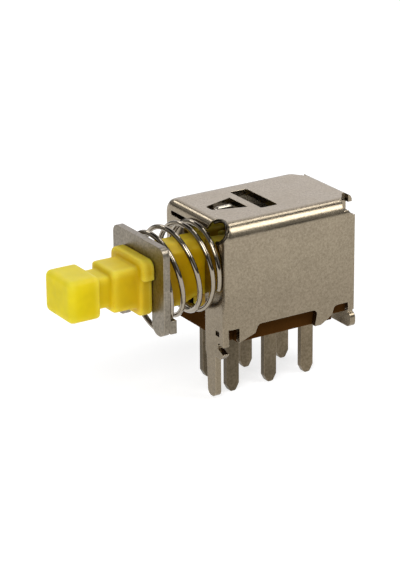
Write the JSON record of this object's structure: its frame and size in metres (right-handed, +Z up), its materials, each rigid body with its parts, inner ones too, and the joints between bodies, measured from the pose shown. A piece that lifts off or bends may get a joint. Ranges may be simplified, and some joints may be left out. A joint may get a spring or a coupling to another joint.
{
  "type": "pushbutton switch",
  "caption": "Right-angle latching push switch for a circuit board: folded steel case, yellow plunger with an outside return spring, and two rows of flat terminals.",
  "frame": {"origin": "middle of the terminal grid on the seating plane, at the foot of the case's stand-offs", "axes": "+X from the plunger's tip to the rear, the side with the ground leg at -Y, +Z up away from the circuit board"},
  "size_m": [0.0176, 0.0066, 0.0104],
  "materials": {
    "case_steel": "satin, nickel plated",
    "retainer_steel": "satin",
    "spring_wire": "bright wire",
    "plunger_plastic": "waxy, slightly translucent",
    "board_plastic": "matte",
    "terminal_metal": "dull silver plating",
    "contact_metal": "silver plated",
    "pin_steel": "bright wire"
  },
  "bodies": {
    "switch_case": {"case": "case_steel", "terminal_board": "board_plastic", "terminal_front_near": "terminal_metal", "terminal_middle_near": "terminal_metal", "terminal_rear_near": "terminal_metal", "terminal_front_far": "terminal_metal", "terminal_middle_far": "terminal_metal", "terminal_rear_far": "terminal_metal", "return_spring": "spring_wire"},
    "plunger_slide": {"plunger": "plunger_plastic", "spring_retainer": "retainer_steel", "contact_clip_near": "contact_metal", "contact_clip_far": "contact_metal"},
    "latch_pin": {"latch_pin": "pin_steel"}
  },
  "joints": [
    {"name": "plunger_press", "type": "slide", "parent": "switch_case", "child": "plunger_slide", "axis": [1, 0, 0], "range_m": [0, 0.0015], "stiffness_N_per_m": 600, "springref_m": -0.0012, "deforming": ["return_spring"]},
    {"name": "latch_pin_swing", "type": "hinge", "parent": "switch_case", "child": "latch_pin", "pos_m": [-0.00265, 0, 0.0077], "axis": [0, 0, 1], "range_deg": [0, 17.2]}
  ],
  "couplings": [
    {"joint": "latch_pin_swing", "follows": "plunger_press", "rad_per_m": 200}
  ]
}
